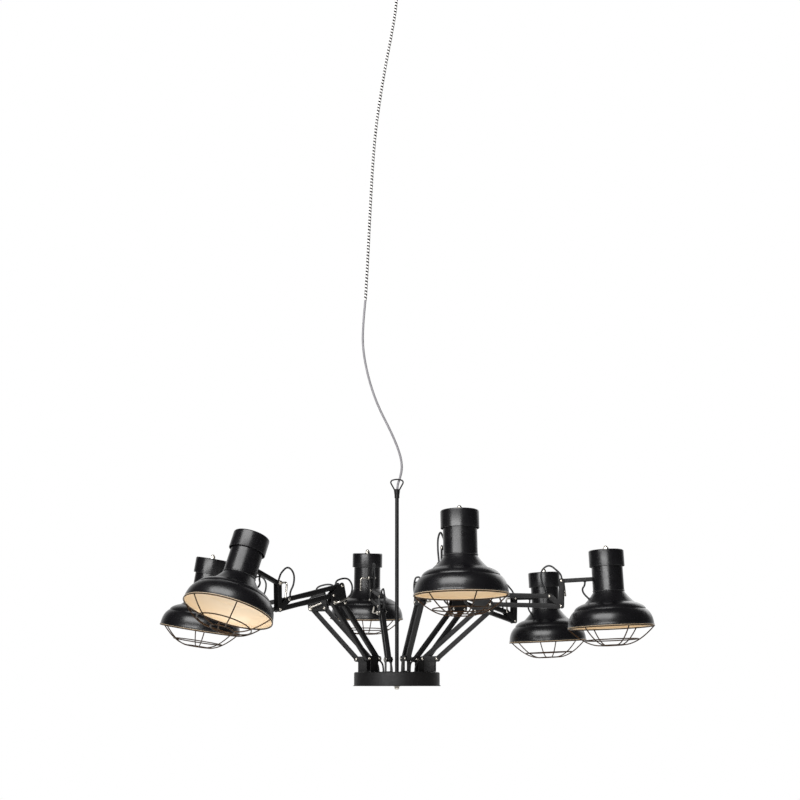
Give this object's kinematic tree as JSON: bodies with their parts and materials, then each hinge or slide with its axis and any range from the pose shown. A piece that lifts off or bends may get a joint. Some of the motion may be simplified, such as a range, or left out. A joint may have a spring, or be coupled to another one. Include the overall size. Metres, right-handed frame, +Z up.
{
  "type": "spider pendant light",
  "caption": "Hanging hub light with parallelogram arms that swivel, fold and tilt, each with a caged metal shade.",
  "frame": {"origin": "centre of the wire eye that the light hangs from", "axes": "+Z up along the stem; -Y towards the viewer of the picture, +X to the right"},
  "size_m": [1.0171, 1.0073, 1.601],
  "materials": {
    "satin_black": "satin black powder coat",
    "black_wire": "black painted wire",
    "black_lead": "matt black cable sheath",
    "cord_sheath": "grey cord, black and white striped above"
  },
  "bodies": {
    "root": {"hub_housing": "satin_black", "hub_base": "satin_black", "stem": "satin_black", "hanging_loop": "black_wire", "supply_cord": "cord_sheath", "ceiling_fitting": "satin_black"},
    "post_1": {"post_1": "satin_black"},
    "lower_bar_inner_1": {"lower_bar_inner_1": "satin_black"},
    "lower_bar_outer_1": {"lower_bar_outer_1": "satin_black"},
    "elbow_1": {"elbow_bracket_1": "satin_black", "arm_lead_1": "black_lead"},
    "upper_bar_top_1": {"upper_bar_top_1": "satin_black"},
    "upper_bar_bottom_1": {"upper_bar_bottom_1": "satin_black"},
    "wrist_1": {"wrist_bracket_1": "satin_black"},
    "lamp_1": {"lamp_head_1": "satin_black"},
    "post_2": {"post_2": "satin_black"},
    "lower_bar_inner_2": {"lower_bar_inner_2": "satin_black"},
    "lower_bar_outer_2": {"lower_bar_outer_2": "satin_black"},
    "elbow_2": {"elbow_bracket_2": "satin_black", "arm_lead_2": "black_lead"},
    "upper_bar_top_2": {"upper_bar_top_2": "satin_black"},
    "upper_bar_bottom_2": {"upper_bar_bottom_2": "satin_black"},
    "wrist_2": {"wrist_bracket_2": "satin_black"},
    "lamp_2": {"lamp_head_2": "satin_black"},
    "post_3": {"post_3": "satin_black"},
    "lower_bar_inner_3": {"lower_bar_inner_3": "satin_black"},
    "lower_bar_outer_3": {"lower_bar_outer_3": "satin_black"},
    "elbow_3": {"elbow_bracket_3": "satin_black", "arm_lead_3": "black_lead"},
    "upper_bar_top_3": {"upper_bar_top_3": "satin_black"},
    "upper_bar_bottom_3": {"upper_bar_bottom_3": "satin_black"},
    "wrist_3": {"wrist_bracket_3": "satin_black"},
    "lamp_3": {"lamp_head_3": "satin_black"},
    "post_4": {"post_4": "satin_black"},
    "lower_bar_inner_4": {"lower_bar_inner_4": "satin_black"},
    "lower_bar_outer_4": {"lower_bar_outer_4": "satin_black"},
    "elbow_4": {"elbow_bracket_4": "satin_black", "arm_lead_4": "black_lead"},
    "upper_bar_top_4": {"upper_bar_top_4": "satin_black"},
    "upper_bar_bottom_4": {"upper_bar_bottom_4": "satin_black"},
    "wrist_4": {"wrist_bracket_4": "satin_black"},
    "lamp_4": {"lamp_head_4": "satin_black"},
    "post_5": {"post_5": "satin_black"},
    "lower_bar_inner_5": {"lower_bar_inner_5": "satin_black"},
    "lower_bar_outer_5": {"lower_bar_outer_5": "satin_black"},
    "elbow_5": {"elbow_bracket_5": "satin_black", "arm_lead_5": "black_lead"},
    "upper_bar_top_5": {"upper_bar_top_5": "satin_black"},
    "upper_bar_bottom_5": {"upper_bar_bottom_5": "satin_black"},
    "wrist_5": {"wrist_bracket_5": "satin_black"},
    "lamp_5": {"lamp_head_5": "satin_black"},
    "post_6": {"post_6": "satin_black"},
    "lower_bar_inner_6": {"lower_bar_inner_6": "satin_black"},
    "lower_bar_outer_6": {"lower_bar_outer_6": "satin_black"},
    "elbow_6": {"elbow_bracket_6": "satin_black", "arm_lead_6": "black_lead"},
    "upper_bar_top_6": {"upper_bar_top_6": "satin_black"},
    "upper_bar_bottom_6": {"upper_bar_bottom_6": "satin_black"},
    "wrist_6": {"wrist_bracket_6": "satin_black"},
    "lamp_6": {"lamp_head_6": "satin_black"}
  },
  "joints": [
    {"name": "arm_swivel_1", "type": "hinge", "parent": "root", "child": "post_1", "pos_m": [0.01812, -0.06761, -0.389], "axis": [0, 0, 1], "range_deg": [-21, 19]},
    {"name": "shoulder_1", "type": "hinge", "parent": "post_1", "child": "lower_bar_inner_1", "pos_m": [0.01406, -0.05348, -0.3627], "axis": [-0.9613, -0.2756, 0], "range_deg": [-22.4, 27.6]},
    {"name": "shoulder_outer_1", "type": "hinge", "parent": "post_1", "child": "lower_bar_outer_1", "pos_m": [0.02217, -0.08174, -0.3627], "axis": [-0.9613, -0.2756, 0], "range_deg": [-22.4, 27.6]},
    {"name": "elbow_level_1", "type": "hinge", "parent": "lower_bar_inner_1", "child": "elbow_1", "pos_m": [0.04117, -0.14802, -0.25575], "axis": [-0.9613, -0.2756, 0], "range_deg": [-27.6, 22.4], "deforming": ["arm_lead_1"]},
    {"name": "upper_arm_1", "type": "hinge", "parent": "elbow_1", "child": "upper_bar_top_1", "pos_m": [0.0436, -0.15648, -0.22215], "axis": [-0.9613, -0.2756, 0], "range_deg": [-31, 49]},
    {"name": "upper_arm_bottom_1", "type": "hinge", "parent": "elbow_1", "child": "upper_bar_bottom_1", "pos_m": [0.04983, -0.17821, -0.24205], "axis": [-0.9613, -0.2756, 0], "range_deg": [-31, 49]},
    {"name": "wrist_level_1", "type": "hinge", "parent": "upper_bar_top_1", "child": "wrist_1", "pos_m": [0.08251, -0.29217, -0.19471], "axis": [-0.9613, -0.2756, 0], "range_deg": [-49, 31]},
    {"name": "head_tilt_1", "type": "hinge", "parent": "wrist_1", "child": "lamp_1", "pos_m": [0.08929, -0.31582, -0.16471], "axis": [-0.9613, -0.2756, 0], "range_deg": [-12.3, 67.7]},
    {"name": "arm_swivel_2", "type": "hinge", "parent": "root", "child": "post_2", "pos_m": [0.06761, -0.01812, -0.389], "axis": [0, 0, 1], "range_deg": [-20.6, 19.4]},
    {"name": "shoulder_2", "type": "hinge", "parent": "post_2", "child": "lower_bar_inner_2", "pos_m": [0.05338, -0.01446, -0.3627], "axis": [-0.2487, -0.9686, 0], "range_deg": [-15.7, 34.3]},
    {"name": "shoulder_outer_2", "type": "hinge", "parent": "post_2", "child": "lower_bar_outer_2", "pos_m": [0.08185, -0.02177, -0.3627], "axis": [-0.2487, -0.9686, 0], "range_deg": [-15.7, 34.3]},
    {"name": "elbow_level_2", "type": "hinge", "parent": "lower_bar_inner_2", "child": "elbow_2", "pos_m": [0.16007, -0.04186, -0.26795], "axis": [-0.2487, -0.9686, 0], "range_deg": [-34.3, 15.7], "deforming": ["arm_lead_2"]},
    {"name": "upper_arm_2", "type": "hinge", "parent": "elbow_2", "child": "upper_bar_top_2", "pos_m": [0.1686, -0.04405, -0.23435], "axis": [-0.2487, -0.9686, 0], "range_deg": [-17.9, 62.1]},
    {"name": "upper_arm_bottom_2", "type": "hinge", "parent": "elbow_2", "child": "upper_bar_bottom_2", "pos_m": [0.19049, -0.04967, -0.25425], "axis": [-0.2487, -0.9686, 0], "range_deg": [-17.9, 62.1]},
    {"name": "wrist_level_2", "type": "hinge", "parent": "upper_bar_top_2", "child": "wrist_2", "pos_m": [0.30778, -0.07978, -0.23962], "axis": [-0.2487, -0.9686, 0], "range_deg": [-62.1, 17.9]},
    {"name": "head_tilt_2", "type": "hinge", "parent": "wrist_2", "child": "lamp_2", "pos_m": [0.33161, -0.0859, -0.20962], "axis": [-0.2487, -0.9686, 0], "range_deg": [-12.3, 67.7]},
    {"name": "arm_swivel_3", "type": "hinge", "parent": "root", "child": "post_3", "pos_m": [0.0495, 0.0495, -0.389], "axis": [0, 0, 1], "range_deg": [-10.9, 29.1]},
    {"name": "shoulder_3", "type": "hinge", "parent": "post_3", "child": "lower_bar_inner_3", "pos_m": [0.03759, 0.04088, -0.3627], "axis": [0.5864, -0.81, 0], "range_deg": [-22.4, 27.6]},
    {"name": "shoulder_outer_3", "type": "hinge", "parent": "post_3", "child": "lower_bar_outer_3", "pos_m": [0.06141, 0.05812, -0.3627], "axis": [0.5864, -0.81, 0], "range_deg": [-22.4, 27.6]},
    {"name": "elbow_level_3", "type": "hinge", "parent": "lower_bar_inner_3", "child": "elbow_3", "pos_m": [0.11726, 0.09855, -0.25575], "axis": [0.5864, -0.81, 0], "range_deg": [-27.6, 22.4], "deforming": ["arm_lead_3"]},
    {"name": "upper_arm_3", "type": "hinge", "parent": "elbow_3", "child": "upper_bar_top_3", "pos_m": [0.12439, 0.10371, -0.22215], "axis": [0.5864, -0.81, 0], "range_deg": [-5.8, 74.2]},
    {"name": "upper_arm_bottom_3", "type": "hinge", "parent": "elbow_3", "child": "upper_bar_bottom_3", "pos_m": [0.14269, 0.11696, -0.24205], "axis": [0.5864, -0.81, 0], "range_deg": [-5.8, 74.2]},
    {"name": "wrist_level_3", "type": "hinge", "parent": "upper_bar_top_3", "child": "wrist_3", "pos_m": [0.23731, 0.18545, -0.25742], "axis": [0.5864, -0.81, 0], "range_deg": [-74.2, 5.8]},
    {"name": "head_tilt_3", "type": "hinge", "parent": "wrist_3", "child": "lamp_3", "pos_m": [0.25724, 0.19988, -0.22742], "axis": [0.5864, -0.81, 0], "range_deg": [-13.1, 66.9]},
    {"name": "arm_swivel_4", "type": "hinge", "parent": "root", "child": "post_4", "pos_m": [-0.01812, 0.06761, -0.389], "axis": [0, 0, 1], "range_deg": [-13.6, 26.4]},
    {"name": "shoulder_4", "type": "hinge", "parent": "post_4", "child": "lower_bar_inner_4", "pos_m": [-0.01592, 0.05308, -0.3627], "axis": [0.9888, 0.1495, 0], "range_deg": [-20.3, 29.7]},
    {"name": "shoulder_outer_4", "type": "hinge", "parent": "post_4", "child": "lower_bar_outer_4", "pos_m": [-0.02032, 0.08215, -0.3627], "axis": [0.9888, 0.1495, 0], "range_deg": [-20.3, 29.7]},
    {"name": "elbow_level_4", "type": "hinge", "parent": "lower_bar_inner_4", "child": "elbow_4", "pos_m": [-0.0312, 0.15413, -0.25942], "axis": [0.9888, 0.1495, 0], "range_deg": [-29.7, 20.3], "deforming": ["arm_lead_4"]},
    {"name": "upper_arm_4", "type": "hinge", "parent": "elbow_4", "child": "upper_bar_top_4", "pos_m": [-0.03252, 0.16284, -0.22582], "axis": [0.9888, 0.1495, 0], "range_deg": [-28.9, 51.1]},
    {"name": "upper_arm_bottom_4", "type": "hinge", "parent": "elbow_4", "child": "upper_bar_bottom_4", "pos_m": [-0.0359, 0.18518, -0.24572], "axis": [0.9888, 0.1495, 0], "range_deg": [-28.9, 51.1]},
    {"name": "wrist_level_4", "type": "hinge", "parent": "upper_bar_top_4", "child": "wrist_4", "pos_m": [-0.05376, 0.30331, -0.20357], "axis": [0.9888, 0.1495, 0], "range_deg": [-51.1, 28.9]},
    {"name": "head_tilt_4", "type": "hinge", "parent": "wrist_4", "child": "lamp_4", "pos_m": [-0.05744, 0.32763, -0.17357], "axis": [0.9888, 0.1495, 0], "range_deg": [-15.3, 64.7]},
    {"name": "arm_swivel_5", "type": "hinge", "parent": "root", "child": "post_5", "pos_m": [-0.06761, 0.01812, -0.389], "axis": [0, 0, 1], "range_deg": [-19.4, 20.6]},
    {"name": "shoulder_5", "type": "hinge", "parent": "post_5", "child": "lower_bar_inner_5", "pos_m": [-0.05346, 0.01416, -0.3627], "axis": [0.2689, 0.9632, 0], "range_deg": [-21.5, 28.5]},
    {"name": "shoulder_outer_5", "type": "hinge", "parent": "post_5", "child": "lower_bar_outer_5", "pos_m": [-0.08177, 0.02207, -0.3627], "axis": [0.2689, 0.9632, 0], "range_deg": [-21.5, 28.5]},
    {"name": "elbow_level_5", "type": "hinge", "parent": "lower_bar_inner_5", "child": "elbow_5", "pos_m": [-0.14979, 0.04106, -0.2573], "axis": [0.2689, 0.9632, 0], "range_deg": [-28.5, 21.5], "deforming": ["arm_lead_5"]},
    {"name": "upper_arm_5", "type": "hinge", "parent": "elbow_5", "child": "upper_bar_top_5", "pos_m": [-0.15827, 0.04343, -0.2237], "axis": [0.2689, 0.9632, 0], "range_deg": [-9.9, 70.1]},
    {"name": "upper_arm_bottom_5", "type": "hinge", "parent": "elbow_5", "child": "upper_bar_bottom_5", "pos_m": [-0.18003, 0.04951, -0.2436], "axis": [0.2689, 0.9632, 0], "range_deg": [-9.9, 70.1]},
    {"name": "wrist_level_5", "type": "hinge", "parent": "upper_bar_top_5", "child": "wrist_5", "pos_m": [-0.29462, 0.0815, -0.24892], "axis": [0.2689, 0.9632, 0], "range_deg": [-70.1, 9.9]},
    {"name": "head_tilt_5", "type": "hinge", "parent": "wrist_5", "child": "lamp_5", "pos_m": [-0.31832, 0.08811, -0.21892], "axis": [0.2689, 0.9632, 0], "range_deg": [-19.4, 60.6]},
    {"name": "arm_swivel_6", "type": "hinge", "parent": "root", "child": "post_6", "pos_m": [-0.0495, -0.0495, -0.389], "axis": [0, 0, 1], "range_deg": [-21.3, 18.7]},
    {"name": "shoulder_6", "type": "hinge", "parent": "post_6", "child": "lower_bar_inner_6", "pos_m": [-0.03934, -0.03887, -0.3627], "axis": [-0.723, 0.6909, 0], "range_deg": [-22.7, 27.3]},
    {"name": "shoulder_outer_6", "type": "hinge", "parent": "post_6", "child": "lower_bar_outer_6", "pos_m": [-0.05965, -0.06012, -0.3627], "axis": [-0.723, 0.6909, 0], "range_deg": [-22.7, 27.3]},
    {"name": "elbow_level_6", "type": "hinge", "parent": "lower_bar_inner_6", "child": "elbow_6", "pos_m": [-0.1069, -0.10957, -0.25523], "axis": [-0.723, 0.6909, 0], "range_deg": [-27.3, 22.7], "deforming": ["arm_lead_6"]},
    {"name": "upper_arm_6", "type": "hinge", "parent": "elbow_6", "child": "upper_bar_top_6", "pos_m": [-0.11298, -0.11593, -0.22163], "axis": [-0.723, 0.6909, 0], "range_deg": [-6.9, 73.1]},
    {"name": "upper_arm_bottom_6", "type": "hinge", "parent": "elbow_6", "child": "upper_bar_bottom_6", "pos_m": [-0.1286, -0.13227, -0.24153], "axis": [-0.723, 0.6909, 0], "range_deg": [-6.9, 73.1]},
    {"name": "wrist_level_6", "type": "hinge", "parent": "upper_bar_top_6", "child": "wrist_6", "pos_m": [-0.20974, -0.21719, -0.25422], "axis": [-0.723, 0.6909, 0], "range_deg": [-73.1, 6.9]},
    {"name": "head_tilt_6", "type": "hinge", "parent": "wrist_6", "child": "lamp_6", "pos_m": [-0.22674, -0.23497, -0.22422], "axis": [-0.723, 0.6909, 0], "range_deg": [-30.7, 49.3]}
  ],
  "couplings": [
    {"joint": "shoulder_outer_1", "follows": "shoulder_1", "ratio": 1},
    {"joint": "elbow_level_1", "follows": "shoulder_1", "ratio": -1},
    {"joint": "upper_arm_bottom_1", "follows": "upper_arm_1", "ratio": 1},
    {"joint": "wrist_level_1", "follows": "upper_arm_1", "ratio": -1},
    {"joint": "shoulder_outer_2", "follows": "shoulder_2", "ratio": 1},
    {"joint": "elbow_level_2", "follows": "shoulder_2", "ratio": -1},
    {"joint": "upper_arm_bottom_2", "follows": "upper_arm_2", "ratio": 1},
    {"joint": "wrist_level_2", "follows": "upper_arm_2", "ratio": -1},
    {"joint": "shoulder_outer_3", "follows": "shoulder_3", "ratio": 1},
    {"joint": "elbow_level_3", "follows": "shoulder_3", "ratio": -1},
    {"joint": "upper_arm_bottom_3", "follows": "upper_arm_3", "ratio": 1},
    {"joint": "wrist_level_3", "follows": "upper_arm_3", "ratio": -1},
    {"joint": "shoulder_outer_4", "follows": "shoulder_4", "ratio": 1},
    {"joint": "elbow_level_4", "follows": "shoulder_4", "ratio": -1},
    {"joint": "upper_arm_bottom_4", "follows": "upper_arm_4", "ratio": 1},
    {"joint": "wrist_level_4", "follows": "upper_arm_4", "ratio": -1},
    {"joint": "shoulder_outer_5", "follows": "shoulder_5", "ratio": 1},
    {"joint": "elbow_level_5", "follows": "shoulder_5", "ratio": -1},
    {"joint": "upper_arm_bottom_5", "follows": "upper_arm_5", "ratio": 1},
    {"joint": "wrist_level_5", "follows": "upper_arm_5", "ratio": -1},
    {"joint": "shoulder_outer_6", "follows": "shoulder_6", "ratio": 1},
    {"joint": "elbow_level_6", "follows": "shoulder_6", "ratio": -1},
    {"joint": "upper_arm_bottom_6", "follows": "upper_arm_6", "ratio": 1},
    {"joint": "wrist_level_6", "follows": "upper_arm_6", "ratio": -1}
  ]
}
